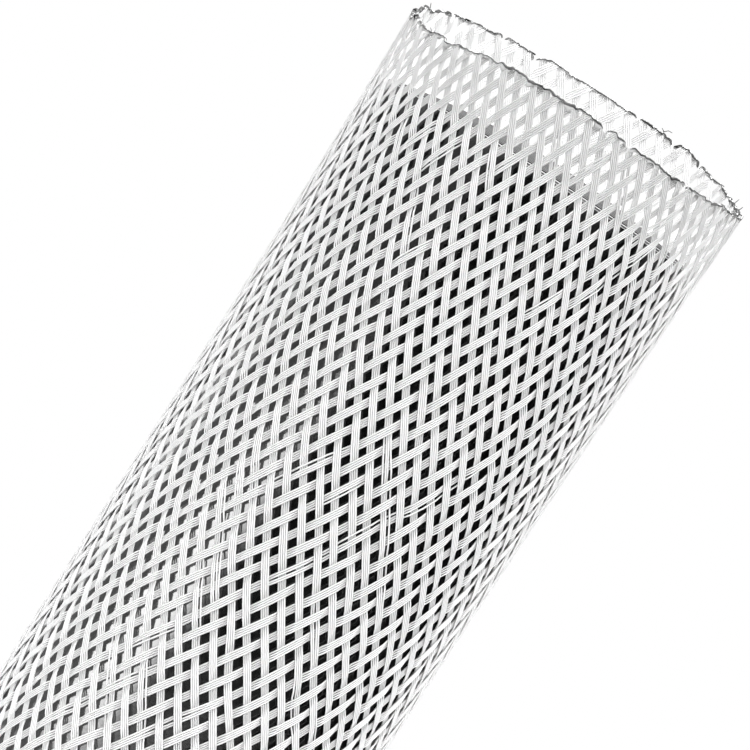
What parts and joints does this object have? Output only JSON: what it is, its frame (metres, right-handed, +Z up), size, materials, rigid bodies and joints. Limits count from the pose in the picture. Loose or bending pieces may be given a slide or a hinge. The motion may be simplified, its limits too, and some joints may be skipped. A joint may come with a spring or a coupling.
{
  "type": "braided cable sleeve",
  "caption": "Expandable tubular braid of clear plastic filament pulled over a round black core, standing on end with the hot-cut mouth open past the core's domed end.",
  "frame": {"origin": "centre of the flat foot, on the floor", "axes": "+Z up along the sleeve's axis towards the open mouth; +Y towards the side where the uneven cut of the rim stands highest; -Y is the side that the picture shows"},
  "size_m": [0.0548, 0.0547, 0.3048],
  "materials": {
    "clear_filament": "clear to milky white polyester monofilament with a soft gloss",
    "black_core": "black plastic with a satin sheen"
  },
  "bodies": {
    "root": {"braided_sleeve": "clear_filament", "core_rod": "black_core"}
  },
  "joints": []
}
